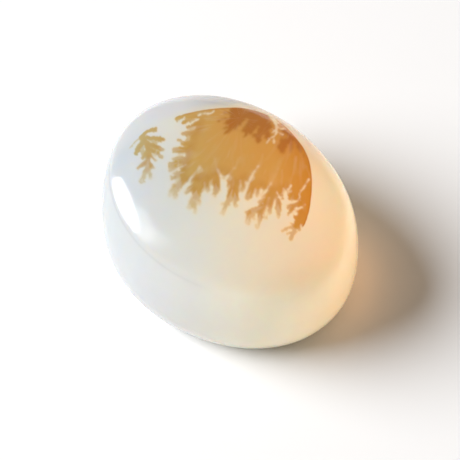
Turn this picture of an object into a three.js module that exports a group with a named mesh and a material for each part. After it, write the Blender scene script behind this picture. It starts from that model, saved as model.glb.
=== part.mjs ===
// Dendritic agate specimen: one hand-polished stone of milky chalcedony, with a
// domed crown that meets the side wall along a shoulder, and a small flat spot
// underneath that it rests on. The fern-like markings are colour inside the
// stone, so the solid has no relief for them.
//
// Millimetres, +Z up. The long axis lies along X, and the origin is under the
// middle of the stone, on the surface that it stands on.

import * as THREE from "three";

// Outline of the widest ring, seen from above.
const HALF_LENGTH = 21;
const HALF_WIDTH = 16.9;
const PEBBLE_SWELL = 0.016; // three soft corners, as a share of the radius
const PEBBLE_TURN = degrees(24); // direction of the first soft corner

// Underside, from the flat spot up to the widest ring.
const FLAT_SPOT_SHARE = 0.66; // size of the flat spot against the outline
const GIRTH_HEIGHT = 7.5; // height of the widest ring
const UNDERSIDE_FULLNESS = 0.67; // 1 is an elliptic curve, less is fuller

// Side wall, from the widest ring up to the shoulder.
const SHOULDER_SHARE = 0.917; // size of the shoulder against the outline
const SHOULDER_HEIGHT = 14; // its mean height
const SADDLE_RISE = 0.78; // how far the shoulder swings up and down round the stone
const SADDLE_TURN = degrees(45);
const CROWN_SLOPE = 0.044; // the crown was ground at a slight tilt
const CROWN_SLOPE_TURN = degrees(253); // direction in which it rises

// Polished crown, inside the shoulder.
const CROWN_RISE = 3.6; // height of the crown above the shoulder
const CROWN_FULLNESS = 2.9; // 2 is a round bowl, more is flatter in the middle
const EDGE_BLEND_CRISP = 0.6; // rounding of the shoulder on its crisp side
const EDGE_BLEND_SOFT = 4; // and on the opposite side
const EDGE_CRISP_TURN = degrees(255); // direction of the crisp side

// Facets.
const SPOKES = 96;
const UNDERSIDE_RINGS = 8;
const WALL_RINGS = 9;
const CROWN_RINGS = 13;
const CROWN_RING_BUNCHING = 1.4; // over 1, the rings crowd towards the shoulder

const STONE_COLOUR = 0xe4dccb;
const STONE_ROUGHNESS = 0.12;

function degrees(angle) {
  return (angle * Math.PI) / 180;
}

// Distance from the axis to the widest ring, in the given direction.
function outlineRadius(turn) {
  const ellipse = 1 / Math.hypot(Math.cos(turn) / HALF_LENGTH, Math.sin(turn) / HALF_WIDTH);
  return ellipse * (1 + PEBBLE_SWELL * Math.cos(3 * (turn - PEBBLE_TURN)));
}

// How far the crown and the shoulder stand above their mean height.
function crownLift(share, turn) {
  const radius = share * outlineRadius(turn);
  const slope = CROWN_SLOPE * radius * Math.cos(turn - CROWN_SLOPE_TURN);
  return slope + SADDLE_RISE * share ** 2 * Math.cos(2 * (turn - SADDLE_TURN));
}

function edgeBlend(turn) {
  const crispness = ((1 + Math.cos(turn - EDGE_CRISP_TURN)) / 2) ** 2;
  return THREE.MathUtils.lerp(EDGE_BLEND_SOFT, EDGE_BLEND_CRISP, crispness);
}

// The lower of two heights. Where they differ by less than the blend, the
// crossing between them is rounded off.
function blendedMinimum(a, b, blend) {
  const closeness = Math.max(blend - Math.abs(a - b), 0) / blend;
  return Math.min(a, b) - (blend * closeness ** 3) / 6;
}

// Height of the upper side. The share is the distance from the axis, where 1 is
// the widest ring.
function upperHeight(share, turn) {
  const shoulder = SHOULDER_HEIGHT + crownLift(share, turn);
  const crown = shoulder + CROWN_RISE * (1 - (share / SHOULDER_SHARE) ** CROWN_FULLNESS);
  const climb = Math.sqrt((1 - share) / (1 - SHOULDER_SHARE));
  const wall = GIRTH_HEIGHT + (shoulder - GIRTH_HEIGHT) * climb;
  return blendedMinimum(crown, wall, edgeBlend(turn));
}

// A ring of points round the axis, at one share of the outline.
function ring(share, heightAt) {
  const points = [];
  for (let spoke = 0; spoke < SPOKES; spoke++) {
    const turn = (2 * Math.PI * spoke) / SPOKES;
    const radius = share * outlineRadius(turn);
    points.push(
      new THREE.Vector3(radius * Math.cos(turn), radius * Math.sin(turn), heightAt(turn)),
    );
  }
  return points;
}

function undersideRings() {
  const rings = [];
  for (let step = 0; step < UNDERSIDE_RINGS; step++) {
    const sweep = (Math.PI / 2) * (step / UNDERSIDE_RINGS);
    const bulge = Math.sin(sweep) ** UNDERSIDE_FULLNESS;
    const share = FLAT_SPOT_SHARE + (1 - FLAT_SPOT_SHARE) * bulge;
    const height = GIRTH_HEIGHT * (1 - Math.cos(sweep) ** UNDERSIDE_FULLNESS);
    rings.push(ring(share, () => height));
  }
  return rings;
}

function wallRings() {
  const rings = [];
  for (let step = 0; step < WALL_RINGS; step++) {
    const share = 1 - (1 - SHOULDER_SHARE) * (step / WALL_RINGS) ** 2;
    rings.push(ring(share, (turn) => upperHeight(share, turn)));
  }
  return rings;
}

function crownRings() {
  const rings = [];
  for (let step = 0; step < CROWN_RINGS; step++) {
    const share = SHOULDER_SHARE * (1 - (step / CROWN_RINGS) ** CROWN_RING_BUNCHING);
    rings.push(ring(share, (turn) => upperHeight(share, turn)));
  }
  return rings;
}

// One closed surface: a fan over the flat spot, a band between each ring and the
// next, and a fan at the top of the crown.
function closedSurface(rings, bottomPoint, topPoint) {
  const points = [bottomPoint, ...rings.flat(), topPoint];
  const top = points.length - 1;
  const corner = (ringNumber, spoke) => 1 + ringNumber * SPOKES + (spoke % SPOKES);
  const faces = [];
  for (let spoke = 0; spoke < SPOKES; spoke++) {
    faces.push(0, corner(0, spoke + 1), corner(0, spoke));
    for (let lower = 0; lower < rings.length - 1; lower++) {
      const a = corner(lower, spoke);
      const b = corner(lower, spoke + 1);
      const c = corner(lower + 1, spoke + 1);
      const d = corner(lower + 1, spoke);
      faces.push(a, b, c, a, c, d);
    }
    faces.push(top, corner(rings.length - 1, spoke), corner(rings.length - 1, spoke + 1));
  }
  return new THREE.BufferGeometry().setFromPoints(points).setIndex(faces);
}

// The soft corners put the middle of the outline a little off the axis, so the
// stone is moved back over the origin.
function centreOverOrigin(geometry) {
  geometry.computeBoundingBox();
  const middle = geometry.boundingBox.getCenter(new THREE.Vector3());
  return geometry.translate(-middle.x, -middle.y, 0);
}

function agateStone() {
  const rings = [...undersideRings(), ...wallRings(), ...crownRings()];
  const bottomPoint = new THREE.Vector3(0, 0, 0);
  const topPoint = new THREE.Vector3(0, 0, upperHeight(0, 0));
  const geometry = centreOverOrigin(closedSurface(rings, bottomPoint, topPoint));
  geometry.computeVertexNormals();
  const polishedStone = new THREE.MeshStandardMaterial({
    color: STONE_COLOUR,
    roughness: STONE_ROUGHNESS,
    metalness: 0,
  });
  const mesh = new THREE.Mesh(geometry, polishedStone);
  mesh.name = "agate_stone";
  return mesh;
}

const specimen = new THREE.Group();
specimen.add(agateStone());

export default specimen;
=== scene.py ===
# %% [markdown]
# # A dendritic agate in Blender
# The object is one hand-polished stone of milky chalcedony: a closed dome on a
# flat spot, with brown fern-like growth inside it. This lesson takes the
# measured solid as a fixed frame, gives it a fine surface with Geometry Nodes,
# draws the growth and keeps it on the stone's points, and lights the stone as
# in the photograph.

# %% Load the measured solid
import math

import bpy
import numpy as np
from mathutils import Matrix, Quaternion, Vector
from mathutils.bvhtree import BVHTree


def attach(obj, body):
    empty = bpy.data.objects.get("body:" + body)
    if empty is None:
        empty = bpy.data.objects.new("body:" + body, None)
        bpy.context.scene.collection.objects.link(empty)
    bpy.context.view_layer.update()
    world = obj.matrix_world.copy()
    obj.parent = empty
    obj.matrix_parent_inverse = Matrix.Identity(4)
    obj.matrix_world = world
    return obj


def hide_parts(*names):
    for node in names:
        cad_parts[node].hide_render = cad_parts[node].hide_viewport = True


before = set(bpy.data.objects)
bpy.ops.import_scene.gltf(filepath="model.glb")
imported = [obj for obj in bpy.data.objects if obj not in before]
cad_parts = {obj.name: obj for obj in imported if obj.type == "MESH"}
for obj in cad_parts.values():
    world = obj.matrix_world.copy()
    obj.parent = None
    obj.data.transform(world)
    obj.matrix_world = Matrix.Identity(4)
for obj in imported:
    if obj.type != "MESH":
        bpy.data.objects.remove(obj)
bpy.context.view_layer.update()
MM = 0.001

# %% [markdown]
# ## Helpers for node trees
# A node tree is a formula drawn as boxes. Formulas with many terms are easier
# to read as text, so small helpers add a Math node and return its output, or
# add any node with its inputs wired. They serve geometry trees and materials.

# %% Nodes as text


class Formula:
    """Adds nodes to one tree."""

    def __init__(self, tree):
        self.tree = tree

    def node(self, kind, inputs=(), **settings):
        """A node whose inputs, by name or number, are linked or set."""
        node = self.tree.nodes.new(kind)
        for name, value in settings.items():
            setattr(node, name, value)
        for key, value in dict(inputs).items():
            if isinstance(value, bpy.types.NodeSocket):
                self.tree.links.new(value, node.inputs[key])
            else:
                node.inputs[key].default_value = value
        return node

    def math(self, operation, *values):
        return self.node("ShaderNodeMath", dict(enumerate(values)), operation=operation).outputs[0]

    def add(self, *values):
        total = values[0]
        for value in values[1:]:
            total = self.math("ADD", total, value)
        return total

    def times(self, *values):
        total = values[0]
        for value in values[1:]:
            total = self.math("MULTIPLY", total, value)
        return total

    def minus(self, a, b):
        return self.math("SUBTRACT", a, b)

    def over(self, a, b):
        return self.math("DIVIDE", a, b)

    def power(self, a, b):
        return self.math("POWER", a, b)

    def lerp(self, a, b, share):
        return self.add(a, self.times(self.minus(b, a), share))


# %% [markdown]
# ## The stone's surface
# The solid in the frame has 96 flat facets round its waist, which a polished
# surface would show as bands in its reflections. Sculpting or subdividing it
# would round it off differently from the solid. Its shape follows a rule, so
# Geometry Nodes repeat that rule on a much finer net. The net starts as a flat
# map with the turn round the stone across and the share of the outline up, in
# four bands from the middle of the flat spot to the top of the crown. One Set
# Position then wraps the map into the stone.

# %% Dimensions of the stone
STONE_SIZES = {
    "Half length": 21.0 * MM,
    "Half width": 16.9 * MM,
    "Pebble swell": 0.016,
    "Pebble turn": math.radians(24),
    "Flat spot share": 0.66,
    "Girth height": 7.5 * MM,
    "Underside fullness": 0.67,
    "Shoulder share": 0.917,
    "Shoulder height": 14.0 * MM,
    "Saddle rise": 0.78 * MM,
    "Saddle turn": math.radians(45),
    "Crown slope": 0.044,
    "Crown slope turn": math.radians(253),
    "Crown rise": 3.6 * MM,
    "Crown fullness": 2.9,
    "Edge blend crisp": 0.3 * MM,
    "Edge blend soft": 4.0 * MM,
    "Edge crisp turn": math.radians(255),
    "Crown ring bunching": 1.15,
}
NET_COUNTS = {
    "Spokes": 640,
    "Flat spot rings": 2,
    "Underside rings": 12,
    "Wall rings": 20,
    "Crown rings": 114,
}

# %% The tree's inputs
stone_tree = bpy.data.node_groups.new("Polished stone", "GeometryNodeTree")
stone_tree.is_modifier = True
modifier_values = {}
for values, kind in ((STONE_SIZES, "NodeSocketFloat"), (NET_COUNTS, "NodeSocketInt")):
    for name, value in values.items():
        socket = stone_tree.interface.new_socket(name, in_out="INPUT", socket_type=kind)
        modifier_values[socket.identifier] = value
material_socket = stone_tree.interface.new_socket(
    "Material", in_out="INPUT", socket_type="NodeSocketMaterial"
)
stone_tree.interface.new_socket("Geometry", in_out="OUTPUT", socket_type="NodeSocketGeometry")

net = Formula(stone_tree)
given = net.node("NodeGroupInput").outputs
print("inputs of the stone's tree:", len(given) - 1)

# %% Four bands of the flat map


def map_place():
    """The three coordinates of a point of the map."""
    position = net.node("GeometryNodeInputPosition").outputs[0]
    return net.node("ShaderNodeSeparateXYZ", {0: position}).outputs


def map_band(rings, share_of_step, side):
    """A grid whose x is the turn, y the share of the outline and z the side."""
    grid = net.node("GeometryNodeMeshGrid", {
        "Size X": 2 * math.pi,
        "Size Y": 1.0,
        "Vertices X": net.add(given["Spokes"], 1),
        "Vertices Y": net.add(given[rings], 1),
    })
    turn, step, _ = map_place()
    target = net.node("ShaderNodeCombineXYZ", {
        "X": turn,
        "Y": share_of_step(net.add(step, 0.5)),
        "Z": side,
    })
    return net.node("GeometryNodeSetPosition", {
        "Geometry": grid.outputs["Mesh"],
        "Position": target.outputs[0],
    }).outputs[0]


UNDERSIDE, UPPER = 0.0, 1.0
flat_share = given["Flat spot share"]
shoulder_share = given["Shoulder share"]


def flat_spot_share(step):
    return net.times(flat_share, step)


def underside_share(step):
    bulge = net.power(net.math("SINE", net.times(step, math.pi / 2)), given["Underside fullness"])
    return net.lerp(flat_share, 1.0, bulge)


def wall_share(step):
    return net.lerp(1.0, shoulder_share, net.power(step, 2))


def crown_share(step):
    return net.times(shoulder_share, net.minus(1.0, net.power(step, given["Crown ring bunching"])))


join = net.node("GeometryNodeJoinGeometry")
for rings, share_of_step, side in (
    ("Flat spot rings", flat_spot_share, UNDERSIDE),
    ("Underside rings", underside_share, UNDERSIDE),
    ("Wall rings", wall_share, UPPER),
    ("Crown rings", crown_share, UPPER),
):
    stone_tree.links.new(map_band(rings, share_of_step, side), join.inputs[0])
print("rings of the net:", sum(NET_COUNTS.values()) - NET_COUNTS["Spokes"])

# %% Wrap the map into the stone
turn, share, side = map_place()


def cosine_from(centre):
    return net.math("COSINE", net.minus(turn, centre))


ellipse = net.over(
    1.0,
    net.math(
        "SQRT",
        net.add(
            net.power(net.over(net.math("COSINE", turn), given["Half length"]), 2),
            net.power(net.over(net.math("SINE", turn), given["Half width"]), 2),
        ),
    ),
)
corners = net.math("COSINE", net.times(3.0, net.minus(turn, given["Pebble turn"])))
outline = net.times(ellipse, net.add(1.0, net.times(given["Pebble swell"], corners)))
radius = net.times(share, outline)

slope = net.times(given["Crown slope"], radius, cosine_from(given["Crown slope turn"]))
saddle_wave = net.math("COSINE", net.times(2.0, net.minus(turn, given["Saddle turn"])))
saddle = net.times(given["Saddle rise"], net.power(share, 2), saddle_wave)
shoulder = net.add(given["Shoulder height"], slope, saddle)
dome = net.minus(1.0, net.power(net.over(share, shoulder_share), given["Crown fullness"]))
crown_height = net.add(shoulder, net.times(given["Crown rise"], dome))
climb = net.math("SQRT", net.over(net.minus(1.0, share), net.minus(1.0, shoulder_share)))
wall_height = net.lerp(given["Girth height"], shoulder, climb)

crispness = net.power(net.over(net.add(1.0, cosine_from(given["Edge crisp turn"])), 2.0), 2)
blend = net.lerp(given["Edge blend soft"], given["Edge blend crisp"], crispness)
apart = net.math("ABSOLUTE", net.minus(crown_height, wall_height))
closeness = net.over(net.math("MAXIMUM", net.minus(blend, apart), 0.0), blend)
rounding = net.over(net.times(blend, net.power(closeness, 3)), 6.0)
upper_height = net.minus(net.math("MINIMUM", crown_height, wall_height), rounding)

beyond_flat = net.math("MAXIMUM", net.over(net.minus(share, flat_share), net.minus(1.0, flat_share)), 0.0)
sweep_sine = net.power(beyond_flat, net.over(1.0, given["Underside fullness"]))
sweep_cosine = net.math("SQRT", net.math("MAXIMUM", net.minus(1.0, net.power(sweep_sine, 2)), 0.0))
lower_dip = net.minus(1.0, net.power(sweep_cosine, given["Underside fullness"]))
lower_height = net.times(given["Girth height"], lower_dip)

stone_place = net.node("ShaderNodeCombineXYZ", {
    "X": net.times(radius, net.math("COSINE", turn)),
    "Y": net.times(radius, net.math("SINE", turn)),
    "Z": net.lerp(lower_height, upper_height, side),
})
# the material paints a thin shade along the shoulder, found by the share, which is read before the wrap
share_settings = {"Geometry": join.outputs[0], "Name": "outline_share", "Value": net.times(share, side)}
keep_share = net.node(
    "GeometryNodeStoreNamedAttribute", share_settings, data_type="FLOAT", domain="POINT"
)
wrap = net.node("GeometryNodeSetPosition", {
    "Geometry": keep_share.outputs[0],
    "Position": stone_place.outputs[0],
})

# %% [markdown]
# The seam where the turn closes, the poles and the rings shared by two bands
# are doubled points, so they are merged. The three soft corners put the
# outline's middle off the axis, and the stone is moved back over the origin,
# as its solid is.

# %% Close, centre and finish the surface
JOIN_DISTANCE = 0.0001 * MM

merge = net.node("GeometryNodeMergeByDistance", {
    "Geometry": wrap.outputs[0],
    "Distance": JOIN_DISTANCE,
})
box_node = net.node("GeometryNodeBoundBox", {"Geometry": merge.outputs[0]})
box_corners = {0: box_node.outputs["Min"], 1: box_node.outputs["Max"]}
corner_sum = net.node("ShaderNodeVectorMath", box_corners, operation="ADD")
back_to_axis = {0: corner_sum.outputs[0], 1: (-0.5, -0.5, 0.0)}
level_half = net.node("ShaderNodeVectorMath", back_to_axis, operation="MULTIPLY")
centre = net.node("GeometryNodeTransform", {
    "Geometry": merge.outputs[0],
    "Translation": level_half.outputs[0],
})
smooth = net.node("GeometryNodeSetShadeSmooth", {"Geometry": centre.outputs[0]})
realize = net.node("GeometryNodeRealizeInstances", {"Geometry": smooth.outputs[0]})
finish_node = net.node("GeometryNodeSetMaterial", {
    "Geometry": realize.outputs[0],
    "Material": given["Material"],
})
net.node("NodeGroupOutput", {"Geometry": finish_node.outputs[0]})

# %% Bake the tree to a plain mesh
agate_material = bpy.data.materials.new("Polished agate")
stone = bpy.data.objects.new("polished_stone", bpy.data.meshes.new("polished_stone"))
bpy.context.scene.collection.objects.link(stone)
modifier = stone.modifiers.new("Polished stone", "NODES")
modifier.node_group = stone_tree
for identifier, value in modifier_values.items():
    modifier[identifier] = value
modifier[material_socket.identifier] = agate_material
evaluated = stone.evaluated_get(bpy.context.evaluated_depsgraph_get())
stone_mesh = bpy.data.meshes.new_from_object(evaluated)
stone.modifiers.remove(modifier)
stone.data = stone_mesh
stone_mesh.name = "polished_stone"
print("stone:", len(stone_mesh.vertices), "points,", len(stone_mesh.polygons), "faces")

# %% [markdown]
# ## The camera
# The photograph was taken with a long lens from 50 degrees above the table, so
# near and far parts have almost the same scale. The camera comes before the
# markings, because they are placed where it sees them.

# %% Camera
IMAGE_SIDE = 460
VIEW_AZIMUTH = math.radians(60.13)
VIEW_ELEVATION = math.radians(50)
VIEW_TARGET = Vector((0.415, 0.203, 5.60)) * MM
VIEW_DISTANCE = 380 * MM
SENSOR_WIDTH = 36.0
SCALE_AT_TARGET = 7.0842 / MM  # pixels of the photograph per metre

back = Vector((
    math.sin(VIEW_AZIMUTH) * math.cos(VIEW_ELEVATION),
    -math.cos(VIEW_AZIMUTH) * math.cos(VIEW_ELEVATION),
    math.sin(VIEW_ELEVATION),
))
right = Vector((0, 0, 1)).cross(back).normalized()
up = back.cross(right)
eye = VIEW_TARGET + back * VIEW_DISTANCE
focal_pixels = SCALE_AT_TARGET * VIEW_DISTANCE

camera_data = bpy.data.cameras.new("Camera")
camera_data.sensor_width = SENSOR_WIDTH
camera_data.lens = focal_pixels / IMAGE_SIDE * SENSOR_WIDTH
camera_data.clip_start = 10 * MM
camera = bpy.data.objects.new("Camera", camera_data)
camera.location = eye
camera.rotation_euler = (-back).to_track_quat("-Z", "Y").to_euler()
bpy.context.scene.collection.objects.link(camera)
bpy.context.scene.camera = camera
print("lens, mm:", round(camera_data.lens, 1))

# %% [markdown]
# ## The dendrites
# Dendrites are manganese and iron oxides that crept into the stone along a
# crack and branched as frost does on a window. They have no relief, so they
# are colour. A texture image would be the quick way, but it would be a copy of
# a picture. A noise pattern can't branch. So the growth is drawn as strokes in
# the photograph's frame: a filled heart, leaves that grow out of it,
# and pale channels between the leaves. A rule adds small round lobes down each
# leaf. The strokes go on flat plates, which hold the distance to the nearest
# stroke, and each point of the stone then reads the plates where the camera
# would see that point. After that the growth belongs to the stone.

# %% Where the photograph shows each point
points = np.empty(len(stone_mesh.vertices) * 3)
stone_mesh.vertices.foreach_get("co", points)
points = points.reshape(-1, 3) / MM
from_eye = points * MM - np.array(eye)
depth = -from_eye @ np.array(back)
seen = np.stack([
    IMAGE_SIDE / 2 + focal_pixels * (from_eye @ np.array(right)) / depth,
    IMAGE_SIDE / 2 - focal_pixels * (from_eye @ np.array(up)) / depth,
], axis=1)
print("the stone spans, in pixels:", seen.min(axis=0).round(1), seen.max(axis=0).round(1))

# %% The plates
PLATE_LOW = np.array([108.0, 96.0])
PLATE_HIGH = np.array([324.0, 246.0])
PLATE_STEP = 0.3
PLATE_COUNT = np.round((PLATE_HIGH - PLATE_LOW) / PLATE_STEP).astype(int) + 1
PLATE_X = PLATE_LOW[0] + PLATE_STEP * np.arange(PLATE_COUNT[0])
PLATE_Y = PLATE_LOW[1] + PLATE_STEP * np.arange(PLATE_COUNT[1])
REACH = 8.0  # distances are known this far from a stroke, in pixels
FILL_REACH = 40.0  # and this far from a filled outline
FAR_AWAY = 999.0


def empty_plate(value=REACH):
    return np.full(tuple(PLATE_COUNT), float(value))


def stamp(plate, start, end, start_radius, end_radius, reach=REACH):
    """Join a tapering round-ended bar to the plate's distances."""
    margin = max(start_radius, end_radius) + reach
    low = np.maximum(((np.minimum(start, end) - margin - PLATE_LOW) / PLATE_STEP).astype(int), 0)
    high = ((np.maximum(start, end) + margin - PLATE_LOW) / PLATE_STEP).astype(int) + 2
    x = PLATE_X[low[0] : high[0], None] - start[0]
    y = PLATE_Y[None, low[1] : high[1]] - start[1]
    bar = end - start
    along = np.clip((x * bar[0] + y * bar[1]) / (bar @ bar + 1e-12), 0, 1)
    radius = start_radius + (end_radius - start_radius) * along
    distance = np.hypot(x - along * bar[0], y - along * bar[1]) - radius
    window = plate[low[0] : high[0], low[1] : high[1]]
    np.minimum(window, distance, out=window)


def smooth_path(points, step):
    """Points every step along a smooth curve through the given ones."""
    points = np.asarray(points, float)
    held = np.vstack([2 * points[0] - points[1], points, 2 * points[-1] - points[-2]])
    pieces = []
    for i in range(1, len(held) - 2):
        count = max(1, int(np.ceil(np.linalg.norm(held[i + 1] - held[i]) / step)))
        t = np.linspace(0, 1, count, endpoint=False)[:, None]
        before, here, there, after = held[i - 1 : i + 3]
        pieces.append(
            here
            + 0.5 * t * (there - before)
            + t**2 * (before - 2.5 * here + 2 * there - 0.5 * after)
            + t**3 * (1.5 * (here - there) + 0.5 * (after - before))
        )
    return np.vstack(pieces + [held[-2][None]])


def fill(corners, step):
    """Distances to a smooth closed outline, negative inside it."""
    outline = smooth_path(np.vstack([corners, corners[:1]]), step)[:-1]
    plate = empty_plate(FAR_AWAY)
    following = np.roll(outline, -1, axis=0)
    for start, end in zip(outline, following):
        stamp(plate, start, end, 0, 0, reach=FILL_REACH)
    x, y = np.meshgrid(PLATE_X, PLATE_Y, indexing="ij")
    inside = np.zeros(x.shape, bool)
    for (ax, ay), (bx, by) in zip(outline, following):
        if ay != by:
            crosses = ((ay <= y) & (by > y)) | ((by <= y) & (ay > y))
            inside ^= crosses & (x < ax + (y - ay) / (by - ay) * (bx - ax))
    return np.where(inside, -plate, plate)


print("plate:", *PLATE_COUNT, "cells")

# %% Leaves and channels
STROKE_STEP = 1.2
LEAF_TAPER = 0.8
CHANNEL_TAPER = 0.7
SHOOT_ANGLE = 50
SHOOT_SWAY = 12
PITCH_RANGE = (0.75, 1.3)
LOBE_RANGE = (0.8, 1.1)
LOBE_REACH = (0.3, 1.7)
THORN_PITCH = 2.8
THORN_REACH = (0.8, 2.8)
dice = np.random.default_rng(3)
tips = empty_plate()


def turned(direction, angle):
    cosine, sine = math.cos(angle), math.sin(angle)
    return np.array([
        direction[0] * cosine - direction[1] * sine,
        direction[0] * sine + direction[1] * cosine,
    ])


def steps_along(path):
    return np.r_[0, np.cumsum(np.linalg.norm(np.diff(path, axis=0), axis=1))]


def side_shoots(path, first, pitch):
    """Places and directions of shoots on alternate sides of a path."""
    length = steps_along(path)
    place = first
    side = dice.choice([-1, 1])
    while place < length[-1]:
        i = min(int(np.searchsorted(length, place)), len(path) - 2)
        ahead = path[i + 1] - path[max(i - 1, 0)]
        ahead /= np.linalg.norm(ahead)
        swing = side * math.radians(SHOOT_ANGLE + dice.uniform(-SHOOT_SWAY, SHOOT_SWAY))
        yield i, place / length[-1], path[i], turned(ahead, swing)
        side = -side
        place += pitch / 2 * dice.uniform(*PITCH_RANGE)


def draw_stroke(plate, corners, first_half, last_half, taper):
    """A smooth stroke between two half widths. Returns its path and widths."""
    path = smooth_path(corners, STROKE_STEP)
    length = steps_along(path)
    half = first_half + (last_half - first_half) * (length / length[-1]) ** taper
    for i in range(len(path) - 1):
        stamp(plate, path[i], path[i + 1], half[i], half[i + 1])
    return path, half


def grow_leaf(plate, corners, root_half, tip_half, lobe=1.0, pitch=3.2, first=0.25):
    """A stroke with small round lobes down both sides. Its tip is noted as paler."""
    path, half = draw_stroke(plate, corners, root_half, tip_half, LEAF_TAPER)
    stamp(tips, path[len(path) * 2 // 3], path[-1], 0, tip_half)
    start = steps_along(path)[-1] * first + dice.uniform(0, pitch) / 2
    for i, _, place, direction in side_shoots(path, start, pitch):
        radius = lobe * dice.uniform(*LOBE_RANGE)
        reach = half[i] + dice.uniform(*LOBE_REACH)
        stamp(plate, place, place + direction * reach, radius, radius * 0.4)


def cut_channel(plate, corners, mouth_half, head_half):
    """A pale channel that narrows inwards and has short thorns."""
    path, half = draw_stroke(plate, corners, mouth_half, head_half, CHANNEL_TAPER)
    for i, inwards, place, direction in side_shoots(path, 1.0, THORN_PITCH):
        reach = half[i] + dice.uniform(*THORN_REACH) * (1 - 0.7 * inwards)
        stamp(plate, place, place + direction * reach, 0.4 * (1 - inwards) + 0.35, 0.1)


# %% [markdown]
# Below are outlines and strokes drawn in pixels of the photograph's
# frame. Each stroke has its half width at the root and at the tip. The growth
# stops at a clean arc, where the polished face cuts the layer that it lies in.

# %% Strokes of the growth
GROWTH_ARC = [
    (121, 158), (128, 149), (135, 140.5), (140, 135.5), (145, 131), (150, 128), (159, 124),
    (173, 118), (180, 115), (190, 112.5), (200, 110.5), (210, 109), (220, 108), (230, 107.6),
    (240, 107.6), (250, 109.2), (260, 112.1), (270, 116.3), (280, 122), (290, 130.8), (300, 142.8),
    (305, 150.5), (309, 160), (311, 170), (312, 180), (311.8, 190), (310.8, 200), (309.7, 209),
    (308, 216), (305.5, 223), (300, 233), (290, 247), (200, 330), (120, 250),
]
HEART = [
    (196, 108), (230, 104), (262, 108), (285, 119), (300, 134), (311, 150), (316, 175),
    (315, 192), (313, 206), (306, 206), (300, 203), (294, 199), (288, 196), (284, 189),
    (277, 192), (270, 194), (264, 190), (259, 187), (252, 186), (246, 181), (240, 184),
    (233, 186), (227, 182), (222, 173), (216, 178), (210, 181), (203, 181), (196, 182),
    (190, 183), (183, 182), (180, 174), (181, 166), (184, 158), (186, 148), (190, 142),
    (191, 134), (195, 128), (197, 121),
]
SMALL_FERN = [
    ([(142, 136.5), (145, 141), (148, 147), (148.5, 155), (148, 163), (147, 171)], 3, 3),
    ([(141, 138), (146, 132), (151, 130.4), (155.5, 129.4)], 2.3, 1.7),
    ([(147, 137.5), (156, 138.4), (163, 139.2)], 2.4, 2),
    ([(149, 144.5), (156, 146.6), (163, 149.6)], 2.9, 2.3),
    ([(150, 149.5), (156, 152.8), (161.6, 156.8)], 2.3, 2),
    ([(150, 155.5), (152.8, 158), (155.6, 160.6)], 1.7, 1.5),
    ([(143.5, 141), (139.2, 147.5), (135.6, 153.4)], 3, 1.8),
    ([(146.5, 154), (142.4, 158.2)], 1.7, 1.4),
    ([(147, 162), (141.5, 165.6), (137.6, 168)], 3.2, 1.8),
    ([(149, 163.5), (153, 168)], 2.8, 2),
]
FERN_TIPS = [
    ([(146.5, 170), (143.6, 176), (141.6, 181)], 2.5, 2.2),
    ([(148.5, 170), (150.2, 175), (150.6, 178.3)], 2.1, 1.7),
    ([(139, 139), (134.5, 142.5), (129.5, 147.5)], 0.8, 0.5),
]
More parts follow.
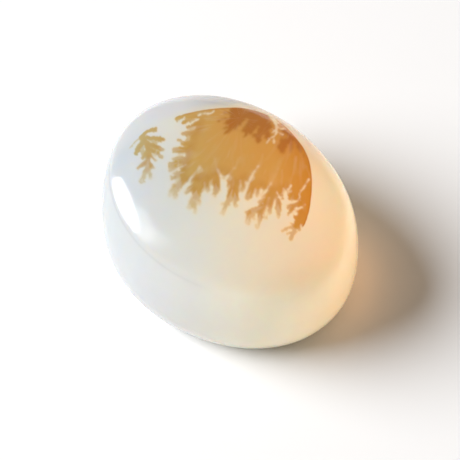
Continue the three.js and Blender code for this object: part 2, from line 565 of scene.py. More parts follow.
LEAVES = [
    # along the upper edge and the left side
    ([(204, 110.5), (190, 114.8), (176.8, 118.8)], 3, 1.9),
    ([(196, 115), (189, 118.5), (183.6, 122.8)], 3.4, 1.6),
    ([(203, 121), (195, 124.5), (187.6, 127.4)], 3.4, 1.6),
    ([(204, 128.5), (194, 132.5), (183, 133.2)], 3.4, 2.1),
    ([(200, 140), (189, 144), (183, 143.2), (178.8, 140.4)], 4.2, 1.5),
    ([(203, 146), (188, 149.6), (175, 149.6)], 4.6, 2.8),
    ([(202, 155), (187, 158), (173.2, 158.8)], 3.6, 1.6),
    ([(202, 158), (186, 161.6), (176, 163), (170, 164.6)], 3.8, 1.8),
    ([(200, 161), (184, 165.6), (175, 168), (170, 170.2)], 3, 1.6),
    ([(203, 163), (190, 170), (181, 173), (176.5, 174)], 4.4, 2.6),
    ([(184, 174), (176, 177), (171, 178)], 2.6, 1.2),
    ([(196, 172), (186, 178), (180, 184), (178, 188)], 5.4, 3),
    ([(182, 180), (176, 184.6), (172.5, 185.5)], 2.6, 1.2),
    # left part of the lower edge
    ([(206, 168), (199, 180), (191, 188), (186, 192)], 4.6, 2),
    ([(207, 172), (200, 184), (195.6, 192), (195.4, 197)], 8, 4),
    ([(203, 182), (202.6, 190)], 2, 1.4),
    ([(207, 180), (207.4, 190.4)], 3, 1.7),
    ([(214, 168), (215.6, 180), (216.6, 190.6)], 5.6, 3.2),
    ([(240, 168), (236, 182), (230, 194), (229.4, 199.4)], 7.5, 2.2),
    ([(238, 178), (235, 190), (235.4, 199.4)], 5, 2.8),
    ([(233, 181), (228.6, 186.6)], 2.8, 2),
    ([(244, 176), (243, 186), (243, 192)], 2.6, 1.5),
    ([(258, 172), (254, 184), (250, 193), (247.4, 197.6)], 6.2, 2.8),
    ([(259, 184), (258, 190), (257.4, 195.6)], 2.2, 1.4),
    # right part of the lower edge
    ([(272, 188), (267, 193.6), (262, 197.2)], 2.4, 1.3),
    ([(273, 190), (266, 199), (258.6, 201.8)], 3.4, 1.2),
    ([(276, 184), (270, 199), (262, 207.4), (253.6, 211)], 6, 2.8),
    ([(256, 209), (250, 211.6), (245.6, 213)], 2.2, 1.2),
    ([(263, 205), (261, 212), (259.4, 219)], 4, 2),
    ([(275, 194), (271, 204), (270, 212.4)], 2.6, 1.7),
    ([(280, 190), (278.4, 202), (278, 211)], 3.4, 2.8),
    ([(281, 186), (281.4, 192), (281.6, 197.6)], 2.4, 1.5),
    ([(297, 182), (294, 192), (293.4, 198.4)], 6, 3.2),
    ([(293, 190), (288.6, 193.6)], 2.2, 1),
    ([(293, 196), (288.8, 198.6)], 2.2, 1.2),
    ([(306, 190), (305.4, 200), (305, 210), (303, 218)], 6, 4.4),
    ([(305, 201), (296, 205.2), (288.6, 207.4)], 3.6, 2.2),
    ([(292, 207), (289.6, 212.6)], 2.6, 1.6),
    ([(304, 209.6), (298, 211.8)], 2, 1.2),
    ([(302, 214.6), (294.4, 217)], 2.2, 1.3),
    ([(304, 212), (300, 220), (296, 226)], 5, 3.2),
    ([(301, 220), (299.6, 226.6)], 3.2, 1.8),
    ([(305, 214), (304.6, 220), (303.6, 225)], 2.4, 1.2),
]
THIN_LEAVES = [
    ([(205, 114), (197, 119), (192, 124), (191.5, 130), (190, 138), (184, 146), (181, 154),
      (177, 162), (175, 169), (177, 176), (178, 184)], 3.4, 3.2),
    ([(190, 182), (196, 176), (200, 170)], 2, 3),
    ([(203, 186), (212, 182), (220, 176), (229, 178)], 3, 3),
    ([(240, 190), (247, 186), (252, 178)], 2.4, 3),
    ([(262, 196), (268, 190), (275, 198), (284, 190), (290, 190)], 2.6, 2.4),
    ([(290, 204), (297, 199), (302, 190)], 1.6, 2),
    ([(292, 212), (300, 209)], 1.6, 1.8),
    ([(152, 139), (157, 149), (155, 155)], 3, 2.4),
    ([(142, 148), (144, 156)], 2.4, 2),
    ([(178, 186), (175.6, 192), (175.4, 197)], 3, 1.9),
    ([(176, 187), (170.8, 191), (170, 195)], 1.8, 1.5),
    ([(195, 196), (191.4, 202), (189.4, 207)], 3.6, 2.4),
    ([(194, 200), (194.6, 206), (195.4, 211.4)], 2.8, 2.2),
    ([(197, 196), (199.6, 203.6)], 2.6, 1.8),
    ([(197.5, 193), (201.2, 196.8)], 2, 1.3),
    ([(215.6, 190), (214.2, 195)], 2.6, 1.4),
    ([(229.6, 197), (226.4, 205), (223, 213)], 2.4, 2.5),
    ([(226.5, 203), (222.4, 204.6)], 1.8, 1.6),
    ([(233.5, 199), (235.8, 206)], 2, 1.5),
    ([(254, 211), (249.6, 215), (247, 222.6)], 3, 2.3),
    ([(251, 214.6), (245.6, 217.2)], 1.8, 1.3),
    ([(254, 213), (253.4, 219.6)], 1.6, 1.1),
    ([(259.6, 217), (258.8, 222), (257.2, 226.6)], 2.2, 2.5),
    ([(266, 209), (265.2, 218.4)], 1.6, 1.5),
    ([(270.4, 211), (270, 214.6)], 1.6, 1),
    ([(278.4, 209), (277.8, 216.6)], 2.6, 1.4),
    ([(289.4, 213), (287.6, 215.6)], 1.2, 0.8),
    ([(294, 224.5), (290.2, 223)], 1.4, 1),
    ([(294.4, 226), (293.4, 233), (290.8, 238.4)], 2.3, 2.5),
    ([(292.6, 227.4), (287.4, 228.4), (282.6, 231.6)], 1.9, 1.5),
    ([(292, 232.4), (286.4, 234)], 1.5, 1),
    ([(299, 226), (299.2, 230.6)], 1.4, 1),
]
CHANNELS = [
    ([(181, 193.5), (185, 188), (188.4, 183), (191.4, 178), (194.4, 174), (198, 169.6),
      (200, 166)], 2.3, 0.8),
    ([(170, 173.6), (178.4, 168.2), (186, 164.6)], 1, 0.7),
    ([(171, 156.4), (178, 155.2), (187, 153.8)], 1.2, 0.6),
    ([(173, 144.4), (184, 146.6)], 1.4, 0.5),
    ([(180, 137.4), (186, 138.2)], 1.7, 0.6),
    ([(181, 129.4), (190, 130.2)], 1.1, 0.5),
    ([(182, 126), (190, 123.6), (194.6, 121), (199, 118.6)], 1.4, 0.7),
    ([(180.4, 121.4), (184.8, 116.8)], 1.2, 0.7),
    ([(198, 115.4), (201.6, 114), (206, 113.8), (211, 113.2), (214, 111.2)], 1.3, 0.9),
    ([(204.8, 192), (204.4, 182)], 1, 0.5),
    ([(211.4, 192), (210.8, 184)], 1.4, 0.6),
    ([(224, 197), (225.4, 190), (224, 183.6), (221.4, 178), (219.4, 173), (217.6, 168.6)], 2.4, 0.7),
    ([(224, 181.6), (228.6, 174.6), (235, 167.6)], 1.3, 0.6),
    ([(232.6, 203), (232.6, 197.6)], 1, 0.4),
    ([(240.4, 196), (240.4, 188), (240, 180)], 1.2, 0.5),
    ([(241.6, 199), (246, 190), (248.8, 182), (251.4, 177), (254.4, 172), (258.6, 166)], 2, 0.7),
    ([(254.4, 199), (255.2, 188.6)], 1.1, 0.5),
    ([(249, 205), (256.6, 200), (262.4, 194.8), (266.6, 189.6), (271.4, 182)], 2.2, 0.7),
    ([(254, 204.8), (263, 203.2)], 1.1, 0.5),
    ([(258, 199.2), (266, 197.4)], 0.9, 0.4),
    ([(256.6, 223), (256.4, 214)], 1.2, 0.7),
    ([(265.6, 215), (266.8, 206), (269.4, 198)], 1.2, 0.5),
    ([(273, 214), (273.6, 206), (275.8, 199)], 1.3, 0.5),
    ([(282, 202), (279.6, 198), (277, 191.6)], 1.3, 0.6),
    ([(284.6, 217), (283.8, 208), (285.4, 198), (286.4, 192.4), (283.4, 188)], 2.5, 0.8),
    ([(286.4, 192.4), (288.8, 188.6), (291.4, 185)], 1.1, 0.5),
    ([(287.4, 192.8), (291.6, 191.4)], 0.6, 0.4),
    ([(285, 204), (290.6, 202.6), (296.4, 201.4), (299.4, 197.6), (299.6, 193.4), (302, 190),
      (305, 185.6), (308.8, 179)], 1.6, 0.5),
    ([(291, 214), (297.6, 209.2), (301.4, 207.6), (305.4, 204.8)], 1.4, 0.7),
    ([(301.6, 229), (301, 224.6)], 1, 0.5),
    ([(272, 115.5), (274.8, 121.4), (276.6, 127.6), (276, 133.6), (273.6, 138)], 2.7, 1),
    ([(275, 121), (279.4, 123.4)], 1.5, 0.7),
    ([(276.4, 126.6), (280.6, 128.6), (285, 128.8)], 1.6, 0.8),
    ([(276.4, 131.4), (280.4, 134), (284, 134.6)], 1.3, 0.7),
    ([(276, 130), (271.4, 132.4)], 1.4, 0.6),
    ([(274.6, 136), (269.4, 138.6)], 1.3, 0.6),
    ([(273.6, 138), (274.6, 143.4)], 1.1, 0.5),
    ([(270.6, 137.6), (266.4, 143.6)], 1, 0.5),
]
DARK_CROWN = [
    (230.4, 104), (250, 104), (262, 107), (274, 114), (271.6, 120), (272.4, 127), (269.6, 131),
    (270, 137), (265, 139.6), (262.4, 138), (260.6, 141.6), (256.6, 143), (256, 138),
    (250.6, 138), (245.6, 136.6), (241.4, 130.6), (236.4, 131), (231.6, 130.6), (228.4, 133),
    (223.6, 133.6), (226.4, 130), (227.6, 126.4), (224.6, 122.6), (226.4, 120.4), (229.4, 117.4),
    (230, 112),
]
DARK_SHOULDER = [
    (278.5, 130), (286, 129.5), (292, 133), (298, 141), (303, 150), (304.5, 156), (302, 156),
    (299, 150), (297, 145.5), (294.5, 143.5), (293.5, 147), (292, 152.5), (289.5, 153),
    (287.5, 147.5), (285.5, 152), (282, 153.5), (279.5, 149.5), (277, 146.5), (280, 143),
    (278, 140), (281, 137.5), (278, 134.5),
]
DARK_FINGERS = [
    ([(231, 113.4), (224.4, 113.2)], 1.5, 1),
    ([(231, 118.6), (223, 119), (218, 121.4)], 1.6, 0.8),
    ([(229, 122.6), (224, 123.4)], 1.2, 0.8),
    ([(229.6, 126.8), (223.6, 128.2)], 1.4, 0.7),
    ([(247, 132), (244.6, 136)], 2.2, 1.4),
]
GOLD_NOTCHES = [
    ([(271, 112), (275, 121), (278, 130), (277, 138), (273, 146)], 4.2, 3.2),
    ([(231.4, 134.6), (236, 130.4), (241, 127.8), (244, 124.4), (245, 121.2), (248.6, 118.8)], 2.4, 0.6),
    ([(247.6, 139.4), (251.6, 134.6), (256, 131), (257.8, 126.6)], 2.8, 0.5),
    ([(262.4, 142), (263, 136)], 1.4, 0.5),
    ([(277.6, 136.6), (286.4, 136.3)], 0.9, 0.4),
    ([(286.4, 154), (287.6, 150), (288.4, 146)], 1.4, 0.6),
    ([(292.6, 156), (294.6, 149.6), (294.4, 142.6)], 2.2, 0.9),
    ([(295.4, 160), (297, 152), (297.4, 146.6)], 1.3, 0.6),
    ([(301.4, 160), (302.6, 155), (302.6, 149.6)], 1.6, 0.6),
    ([(305.6, 166), (306, 158)], 1.4, 0.5),
]
VEINS = [
    ([(296, 157), (294.6, 166), (292, 178), (290, 187)], 1.2, 0.9),
    ([(282.6, 170), (281.8, 180), (281, 187)], 1, 0.7),
    ([(306, 166), (309.6, 176)], 0.6, 0.5),
    ([(226, 112), (218, 116), (205, 118.6)], 1, 0.6),
    ([(258.6, 166), (261.4, 160), (263, 154)], 1.3, 0.6),
    ([(271.4, 182), (275.6, 175), (278, 168)], 1.2, 0.6),
    ([(217.6, 168.6), (215.6, 163), (214.4, 158)], 1.2, 0.6),
    ([(235, 167.6), (238, 162), (239.6, 157)], 1.2, 0.6),
]

# %% Grow them
FERN_FULLNESS = 0.92
heart = fill(HEART, 2.0)
for leaf in LEAVES:
    grow_leaf(heart, *leaf)
for corners, *halves in SMALL_FERN:
    halves = [half * FERN_FULLNESS for half in halves]
    grow_leaf(heart, corners, *halves, lobe=0.85, pitch=3.6, first=0.45)
thin_growth = empty_plate()
for leaf in THIN_LEAVES + FERN_TIPS:
    grow_leaf(thin_growth, *leaf, lobe=0.8, first=0.2)
channels = empty_plate()
for channel in CHANNELS:
    cut_channel(channels, *channel)
arc = fill(GROWTH_ARC, 3.0)
dark = np.minimum(fill(DARK_CROWN, 1.5), fill(DARK_SHOULDER, 1.5))
for finger in DARK_FINGERS:
    draw_stroke(dark, *finger, LEAF_TAPER)
notches = empty_plate()
for notch in GOLD_NOTCHES:
    cut_channel(notches, *notch)
dark = np.maximum(dark, -notches)
veins = empty_plate()
for vein in VEINS:
    draw_stroke(veins, *vein, CHANNEL_TAPER)
print(f"share of the plate that is marked: {(heart < 0).mean():.3f}")

# %% [markdown]
# The drawn strokes are too neat. A soft noise moves the place that is read, a
# grain roughens the edges, and fine hairs fan out from where the growth began.
# Every noise has a fixed seed, so each run gives the same stone. The mineral
# lies a little below the polish, and milky stone above it blurs it: a blur over
# the plate does that, weak near the arc and stronger where the growth lies deep.

# %% Noise for the growth
NOISE_CELLS = 64
NOISE_OCTAVES = ((1, 0.67), (2, 0.33))
OCTAVE_SHIFT = 17.3
HAIR_LENGTH = 14.0
LEFT_CENTRE = (240, 118)
RIGHT_CENTRE = (300, 100)
CENTRES_MEET = 225.0  # the right centre starts to count here, across the plate
CENTRES_BLEND = 45.0
FINE_HAIRS = 26  # hairs in each radian of the fan
COARSE_HAIRS = 11
WANDER = 0.45
WANDER_SIZE = 4.2
GRAIN_SIZE = 2.2


def smooth_step(t):
    return t * t * (3 - 2 * t)


def soft_noise(places, size, seed):
    """Smooth noise from -1 to 1, with cells of the given size."""
    table = np.random.default_rng(seed).uniform(-1, 1, (NOISE_CELLS, NOISE_CELLS))
    total = np.zeros(len(places))
    for octave, weight in NOISE_OCTAVES:
        cell = places / size * octave + OCTAVE_SHIFT * octave
        i, j = np.floor(cell).astype(int).T % NOISE_CELLS
        next_i, next_j = (i + 1) % NOISE_CELLS, (j + 1) % NOISE_CELLS
        u, v = smooth_step(cell - np.floor(cell)).T
        near = table[i, j] * (1 - u) + table[next_i, j] * u
        far = table[i, next_j] * (1 - u) + table[next_i, next_j] * u
        total += weight * (near * (1 - v) + far * v)
    return total


def fan(centre, hairs, seed):
    """Noise in hairs that spread from a centre, on the whole plate."""
    offset = cells - np.array(centre)
    angle = np.arctan2(offset[:, 1], offset[:, 0])
    hair_place = np.stack([angle * hairs, np.hypot(*offset.T) / HAIR_LENGTH], axis=1)
    return soft_noise(hair_place, 1.0, seed)


def growth_hairs(hairs, seed):
    """The left part grew from the middle of the arc, the right part from its end."""
    share = np.clip((cells[:, 0] - CENTRES_MEET) / CENTRES_BLEND, 0, 1)
    left = fan(LEFT_CENTRE, hairs, seed)
    return (left + (fan(RIGHT_CENTRE, hairs, seed + 1) - left) * share).reshape(arc.shape)


def plate_noise(size, seed):
    return soft_noise(cells, size, seed).reshape(arc.shape)


def read_plate(plate, places):
    """Value of a plate at each place, mixed from the four cells round it."""
    cell = np.clip((places - PLATE_LOW) / PLATE_STEP, 0, PLATE_COUNT - 1.001)
    i, j = cell.astype(int).T
    u, v = (cell - cell.astype(int)).T
    near = plate[i, j] * (1 - u) + plate[i + 1, j] * u
    far = plate[i, j + 1] * (1 - u) + plate[i + 1, j + 1] * u
    return near * (1 - v) + far * v


cells = np.stack([axis.ravel() for axis in np.meshgrid(PLATE_X, PLATE_Y, indexing="ij")], axis=1)
wander = WANDER * np.stack([soft_noise(cells, WANDER_SIZE, seed) for seed in (1, 2)], axis=1)
hairs = growth_hairs(FINE_HAIRS, seed=11)
tresses = growth_hairs(COARSE_HAIRS, seed=21)
roughness = 0.7 * hairs + 0.9 * plate_noise(GRAIN_SIZE, seed=5)
print("noise on", len(cells), "cells")

# %% From strokes to mineral


def cut(distance, half_width):
    """1 inside, 0 outside, with a transition of the given half width."""
    return smooth_step(np.clip((half_width - distance) / (2 * half_width), 0, 1))


def wandered(plate):
    return read_plate(plate, cells + wander).reshape(arc.shape)


def blur(plate, sigma):
    """The plate blurred with a Gaussian, first down and then across."""
    reach = int(3 * sigma / PLATE_STEP) + 1
    offsets = np.arange(-reach, reach + 1) * PLATE_STEP
    weights = np.exp(-(offsets**2) / (2 * sigma**2))
    weights /= weights.sum()
    for _ in range(2):
        padded = np.pad(plate, ((reach, reach), (0, 0)), mode="edge")
        rows = len(plate)
        plate = sum(weight * padded[i : i + rows] for i, weight in enumerate(weights)).T
    return plate


def between(value, low, high):
    """0 up to low, 1 from high on, and straight between them."""
    return np.clip((value - low) / (high - low), 0, 1)


EDGE = 0.6
SOFT_EDGE = 1.5
THIN_SHARE = 0.7  # how much mineral the thin leaves hold
LEAF_SWELL = 0.2
CHANNEL_NARROWING = 0.3
CHANNEL_CUT = 0.8
VEIN_CUT = 0.13
TIP_CUT = 0.3
TRESS_CUT = 0.17
SHALLOW_BLUR = 0.5
DEEP_BLUR = 1.0
DEEP_RANGE = (12, 67)  # pixels past the arc
TIP_RANGE = (14, 24)
past_arc = -arc
mineral_plate = np.maximum(
    cut(wandered(heart) + roughness - LEAF_SWELL, EDGE),
    THIN_SHARE * cut(wandered(thin_growth) + roughness - LEAF_SWELL, EDGE),
)
rough_channels = wandered(channels) + 0.8 * roughness + CHANNEL_NARROWING
mineral_plate *= 1 - CHANNEL_CUT * cut(rough_channels, EDGE)
mineral_plate *= 1 - VEIN_CUT * cut(wandered(veins) + 0.5 * roughness, SOFT_EDGE)
deep = between(past_arc, *DEEP_RANGE)
mineral_plate = blur(mineral_plate, SHALLOW_BLUR) * (1 - deep) + blur(mineral_plate, DEEP_BLUR) * deep
mineral_plate *= 1 - TIP_CUT * cut(tips, SOFT_EDGE) * between(past_arc, *TIP_RANGE)
near_rim = 1 - 0.6 * between(-heart, 0, 25)
mineral_plate *= 1 - TRESS_CUT * near_rim * (tresses + 0.6 * hairs)
print(f"mean mineral on the plate: {mineral_plate.mean():.3f}")

# %% The darker parts
DARK_BLUR = 0.9
CORE_BLUR = 0.6
CORE_START = (0.4, 1.6)  # pixels inside the edge of a lobe
CORE_END = (-10, -4)
CORE_ARC = (3, 11)
dark_plate = blur(cut(wandered(dark) + 1.6 * roughness, EDGE), DARK_BLUR)
lobe_core = between(-heart, *CORE_START) * between(heart, *CORE_END)
lobe_core *= 0.27 + 0.16 * tresses + 0.14 * plate_noise(5.0, seed=8)
dark_plate = np.maximum(dark_plate, blur(lobe_core * between(past_arc, *CORE_ARC), CORE_BLUR))
print(f"mean darkness on the plate: {dark_plate.mean():.3f}")

# %% Fields on the stone's points
CROWN_FROM = 10.0
on_crown = points[:, 2] > CROWN_FROM


def keep_on_stone(name, values):
    attribute = stone_mesh.attributes.new(name, "FLOAT", "POINT")
    attribute.data.foreach_set("value", values.astype(np.float32))


normals = np.zeros((len(points), 3), np.float32)
stone_mesh.vertex_normals.foreach_get("vector", normals.ravel())
mineral_here = np.where(on_crown, read_plate(mineral_plate, seen), 0.0)
keep_on_stone("mineral", mineral_here)
keep_on_stone("darkness", np.where(on_crown, read_plate(dark_plate, seen), 0.0))
keep_on_stone("from_arc", np.where(on_crown, -read_plate(arc, seen), -REACH))
keep_on_stone("upwards", normals[:, 2])
print("marked points:", int((mineral_here > 0.5).sum()), "of", len(points))

# %% [markdown]
# ## The agate's material
# Milky chalcedony lets light in, scatters it and lets it out a few millimetres
# away. Subsurface scattering does that with one closed surface. The body runs
# from a cool white on one side to a peach colour on the other. That is partly
# iron stain and partly painted light: darker on the lit side, and a painted
# warm glow where light crosses the stone. One colour ramp serves the crown and
# one the wall. On the side that faces away, the wall gets a painted shade and a
# painted glow, and the far edge a painted grey reflection. A thin painted
# shade, for a dark reflection, follows the crisp part of the shoulder. The
# growth is read from the points: how much mineral there is, and how dark it is.
# Where it is thin, it is paler.

# %% Start the material
agate_material.use_nodes = True
agate_tree = agate_material.node_tree
agate_tree.nodes.clear()
look = Formula(agate_tree)


def read_field(name):
    return look.node("ShaderNodeAttribute", attribute_name=name).outputs["Fac"]


def along(direction):
    """How far a point of the stone lies in a direction, in metres."""
    terms = {0: coordinates, 1: direction}
    return look.node("ShaderNodeVectorMath", terms, operation="DOT_PRODUCT").outputs["Value"]


def remap(value, low, high, to_low=0.0, to_high=1.0, interpolation="LINEAR"):
    ends = {"Value": value, "From Min": low, "From Max": high, "To Min": to_low, "To Max": to_high}
    return look.node("ShaderNodeMapRange", ends, interpolation_type=interpolation).outputs["Result"]


def soft_mask(distance, half_width):
    """1 inside, 0 outside, with a transition of the given half width."""
    return remap(distance, half_width, -half_width, interpolation="SMOOTHSTEP")


def ramp(value, stops):
    node = look.node("ShaderNodeValToRGB", {"Fac": value})
    elements = node.color_ramp.elements
    while len(elements) < len(stops):
        elements.new(0.5)
    for element, (place, colour) in zip(elements, stops):
        element.position = place
        element.color = (*colour, 1.0)
    return node.outputs["Color"]


def mix_colour(share, a, b):
    return look.node("ShaderNodeMix", {0: share, 6: a, 7: b}, data_type="RGBA").outputs[2]


coordinates = look.node("ShaderNodeTexCoord").outputs["Object"]

# %% Colour of the body
WARM_TURN = math.radians(-5)  # from picture right towards the viewer
HALF_LENGTH = STONE_SIZES["Half length"]
CLOUD_SCALE = 90.0
CLOUD_DETAIL = 3.0
CLOUD_STRENGTH = 0.12
towards_viewer = Vector((back.x, back.y, 0)).normalized()
warm_direction = right * math.cos(WARM_TURN) + towards_viewer * math.sin(WARM_TURN)
cloud = look.node("ShaderNodeTexNoise", {
    "Vector": coordinates,
    "Scale": CLOUD_SCALE,
    "Detail": CLOUD_DETAIL,
})
warmth = look.add(
    remap(along(warm_direction), -HALF_LENGTH, HALF_LENGTH),
    look.times(look.minus(cloud.outputs["Fac"], 0.5), CLOUD_STRENGTH),
)
# the ramps along this measure are partly iron stain and partly painted light: darker on the lit side and
# a painted warm glow where light crosses the stone
crown_colour = ramp(warmth, (
    (0.08, (0.37, 0.43, 0.48)),
    (0.20, (0.49, 0.52, 0.54)),
    (0.35, (0.58, 0.585, 0.54)),
    (0.50, (0.675, 0.615, 0.49)),
    (0.65, (0.78, 0.635, 0.45)),
    (0.80, (0.93, 0.71, 0.47)),
    (0.95, (1.0, 0.80, 0.55)),
))
wall_colour = ramp(warmth, (
    (0.08, (0.41, 0.44, 0.45)),
    (0.20, (0.465, 0.485, 0.495)),
    (0.35, (0.575, 0.585, 0.56)),
    (0.50, (0.735, 0.72, 0.61)),
    (0.65, (0.80, 0.74, 0.575)),
    (0.80, (0.80, 0.66, 0.445)),
    (0.95, (0.89, 0.63, 0.37)),
))
crown_part = remap(read_field("upwards"), 0.5, 0.9, interpolation="SMOOTHSTEP")

# %% Painted shade, glow and reflection on the side that faces away
# the cool far wall gets a painted shade, the warm far wall a painted glow of light that crosses the stone
FAR_PAINTED_SHADE = (0.20, 0.23, 0.25, 1.0)
FAR_PAINTED_GLOW = (1.0, 0.82, 0.58, 1.0)
towards_far = along(-towards_viewer)
far_side = remap(towards_far, -10 * MM, 4 * MM)
far_shade_part = look.times(far_side, remap(warmth, 0.30, 0.12, 0.0, 0.3))
far_glow_part = look.times(far_side, remap(warmth, 0.55, 0.90))
wall_colour = mix_colour(far_shade_part, wall_colour, FAR_PAINTED_SHADE)
wall_colour = mix_colour(far_glow_part, wall_colour, FAR_PAINTED_GLOW)
body_colour = mix_colour(crown_part, wall_colour, crown_colour)
# a grey band along the far edge, outside the growth, is a painted reflection of the dim surround
outside_arc = soft_mask(look.add(read_field("from_arc"), 3.0), 4.0)
far_edge_reflection = look.times(remap(towards_far, 3 * MM, 11 * MM), outside_arc)
far_edge_reflection = look.times(far_edge_reflection, remap(warmth, 0.9, 0.5), remap(read_field("upwards"), -0.1, 0.45))
far_reflection_colour = ramp(warmth, (
    (0.20, (0.50, 0.53, 0.55)),
    (0.38, (0.56, 0.575, 0.59)),
    (0.55, (0.45, 0.445, 0.435)),
))
body_colour = mix_colour(far_edge_reflection, body_colour, far_reflection_colour)

# %% Painted shade along the crisp shoulder, for its dark reflection
CREASE_SHARE = 0.925  # of the outline, just outside the shoulder
SHADE_LINE_HALF = 0.011
CREASE_SHADE = 0.05
# this dark colour is a painted shade: it stands for the dark reflection along the crisp shoulder
PAINTED_SHADE_COLOUR = (0.08, 0.10, 0.12, 1.0)
from_crease = look.math("ABSOLUTE", look.minus(read_field("outline_share"), CREASE_SHARE))
painted_shade_line = look.times(soft_mask(from_crease, SHADE_LINE_HALF), 0.3)
crease_shade = look.times(soft_mask(from_crease, CREASE_SHADE), 0.1)
painted_crease_shade = look.times(look.add(painted_shade_line, crease_shade), remap(warmth, 0.42, 0.16))
body_colour = mix_colour(painted_crease_shade, body_colour, PAINTED_SHADE_COLOUR)

# %% Colour of the growth
inside_arc = soft_mask(look.times(read_field("from_arc"), -1.0), 0.8)
arc_line = soft_mask(look.minus(read_field("from_arc"), 1.6), 0.9)
gold = ramp(warmth, (
    (0.20, (0.39, 0.32, 0.155)),
    (0.35, (0.46, 0.32, 0.105)),
    (0.50, (0.54, 0.30, 0.078)),
    (0.65, (0.62, 0.305, 0.065)),
    (0.78, (0.66, 0.25, 0.02)),
))
dark_brown = ramp(warmth, (
    (0.45, (0.36, 0.139, 0.015)),
    (0.60, (0.43, 0.165, 0.025)),
    (0.75, (0.52, 0.175, 0.02)),
))
dark_line = look.times(arc_line, remap(warmth, 0.25, 0.5, 0.0, 0.4))
dark_share = look.math("MAXIMUM", read_field("darkness"), dark_line)
thin_gold = ramp(warmth, (
    (0.20, (0.50, 0.44, 0.24)),
    (0.50, (0.76, 0.54, 0.19)),
    (0.80, (0.95, 0.56, 0.10)),
))
presence = look.times(read_field("mineral"), inside_arc)
full_mineral = mix_colour(dark_share, gold, dark_brown)
mineral = mix_colour(remap(presence, 0.15, 0.65), thin_gold, full_mineral)
base_colour = mix_colour(presence, body_colour, mineral)

# %% The shader
AGATE_FINISH = {
    "Subsurface Weight": 1.0,
    "Subsurface Radius": (1.0, 0.62, 0.38),  # red light travels furthest
    "Subsurface Scale": 4.0 * MM,
    "IOR": 1.54,
    "Roughness": 0.1,
}
agate = look.node("ShaderNodeBsdfPrincipled", {"Base Color": base_colour, **AGATE_FINISH})
look.node("ShaderNodeOutputMaterial", {"Surface": agate.outputs[0]})

# %% [markdown]
# ## Floor and light
# The stone lies on a white table. One light could give both the shading and the
# reflection, but then neither can be set alone. So a large softbox on the left
# shines without being reflected, and a tilted window and two weak glints are
# reflected without shining: they make the long white streak on the shoulder.
# Two cards on the right shine on the stone alone. They stand for light that has
# crossed it. A dim warm surround fills the shadow.

# %% Floor
FLOOR_HALF = 1.5
floor_mesh = bpy.data.meshes.new("floor")
floor_corners = [(x * FLOOR_HALF, y * FLOOR_HALF, 0) for x, y in ((-1, -1), (1, -1), (1, 1), (-1, 1))]
floor_mesh.from_pydata(floor_corners, [], [(0, 1, 2, 3)])
floor = bpy.data.objects.new("floor", floor_mesh)
bpy.context.scene.collection.objects.link(floor)
floor_material = bpy.data.materials.new("White table")
floor_material.use_nodes = True
table_shader = floor_material.node_tree.nodes["Principled BSDF"]
TABLE_FINISH = {"Base Color": (0.9, 0.9, 0.9, 1.0), "Roughness": 0.6, "Specular IOR Level": 0.2}
for name, value in TABLE_FINISH.items():
    table_shader.inputs[name].default_value = value
floor_mesh.materials.append(floor_material)

# %% Lights
away = -towards_viewer


def direction_of(azimuth, elevation):
    """Azimuth in degrees clockwise from straight away from the camera."""
    level = away * math.cos(math.radians(azimuth)) + right * math.sin(math.radians(azimuth))
    rise = math.radians(elevation)
    return level * math.cos(rise) + Vector((0, 0, math.sin(rise)))


def area_light(name, width, height, radiance, colour):
    """An elliptical light. Its power is its radiance times pi times its area."""
    data = bpy.data.lights.new(name, "AREA")
    data.shape = "ELLIPSE"
    data.size = width
    data.size_y = height
    data.energy = radiance * data.size * data.size_y * math.pi**2 / 4
    data.color = colour
    light = bpy.data.objects.new(name, data)
    bpy.context.scene.collection.objects.link(light)
    return light


def soft_light(name, azimuth, elevation, distance, width, height, radiance, colour, roll=0):
    """A light that faces the stone. Its width and height are angles seen from there."""
    across = 2 * distance * math.tan(math.radians(width / 2))
    upright = 2 * distance * math.tan(math.radians(height / 2))
    light = area_light(name, across, upright, radiance, colour)
    towards = direction_of(azimuth, elevation)
    light.location = VIEW_TARGET + towards * distance
    facing = towards.to_track_quat("Z", "Y") @ Quaternion((0, 0, 1), math.radians(roll))
    light.rotation_euler = facing.to_euler()
    return light


DAYLIGHT = (0.99, 1.0, 1.02)
WINDOW_LIGHT = (0.97, 1.0, 1.03)
GLINTS = ((-81, 51.5, 20, 13, 2.9), (-93, 52, 12, 20, 1.9))
softbox = soft_light("Softbox", -86, 32.3, 1.4, 55, 38, 11.5, DAYLIGHT)
window = soft_light("Window", -67, 39.6, 0.8, 34, 15.8, 11.0, WINDOW_LIGHT, roll=28)
window.visible_diffuse = False
for azimuth, elevation, width, height, radiance in GLINTS:
    glint = soft_light("Glint", azimuth, elevation, 0.8, width, height, radiance, WINDOW_LIGHT)
    glint.visible_diffuse = False
card = soft_light("Card", 108, 12, 0.5, 70, 22, 6.4, (1.0, 0.93, 0.84))
rim_card = soft_light("Rim card", 58, 14, 0.5, 24, 20, 5.0, (1.0, 0.74, 0.44))
lit_by_cards = bpy.data.collections.new("Lit by card")
lit_by_cards.objects.link(stone)
for light in (card, rim_card):
    light.light_linking.receiver_collection = lit_by_cards
for light in (softbox, card, rim_card):
    light.visible_glossy = False
print("lights:", len(bpy.data.lights))

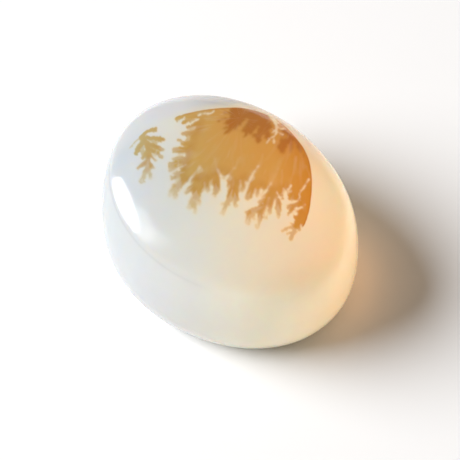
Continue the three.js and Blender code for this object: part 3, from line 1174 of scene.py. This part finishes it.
# %% [markdown]
# The amber side also passes light on to the table. The render's scattering does
# not carry light through the stone that far, so small amber lights stand just
# outside the wall and look down at the table. A ray cast back at the stone
# finds the wall for each of them.

# %% The glow that the stone passes on
GLOW_HEIGHT = 3.0  # over the table, mm
GLOW_GAP = 0.4  # outside the wall, mm
GLOW_TILT = math.radians(50)  # down towards the table
GLOW_WIDTH = 9 * MM
GLOW_DEPTH = 4 * MM
GLOW_COLOUR = (1.0, 0.47, 0.17)
GLOW_STRENGTHS = ((84, 0.26), (98, 0.33), (112, 0.32), (126, 0.21), (140, 0.08))  # by azimuth
RAY_START = 40.0  # from the axis, mm
stone_faces = BVHTree.FromPolygons(points.tolist(), [p.vertices[:] for p in stone_mesh.polygons])
for azimuth, strength in GLOW_STRENGTHS:
    outwards = direction_of(azimuth, 0)
    start = Vector((0, 0, GLOW_HEIGHT)) + outwards * RAY_START
    wall, wall_normal = stone_faces.ray_cast(start, -outwards)[:2]
    wall_normal = Vector((wall_normal.x, wall_normal.y, 0)).normalized()
    facing = wall_normal * math.cos(GLOW_TILT) - Vector((0, 0, math.sin(GLOW_TILT)))
    glow = area_light("Amber glow", GLOW_WIDTH, GLOW_DEPTH, strength, GLOW_COLOUR)
    glow.location = (wall + wall_normal * GLOW_GAP) * MM
    glow.rotation_euler = facing.to_track_quat("-Z", "Y").to_euler()
    glow.visible_glossy = False
    glow.visible_camera = False
print("glow lights:", len(GLOW_STRENGTHS))

# %% The surround
SURROUND_COLOUR = (1.0, 0.86, 0.72, 1.0)
SURROUND_STRENGTH = 0.21
world = bpy.data.worlds.new("Studio")
world.use_nodes = True
surround = world.node_tree.nodes["Background"]
surround.inputs["Color"].default_value = SURROUND_COLOUR
surround.inputs["Strength"].default_value = SURROUND_STRENGTH
bpy.context.scene.world = world
bpy.context.scene.view_settings.view_transform = "Standard"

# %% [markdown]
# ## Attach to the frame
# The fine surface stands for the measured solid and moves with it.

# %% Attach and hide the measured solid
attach(stone, "root")
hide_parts("agate_stone")
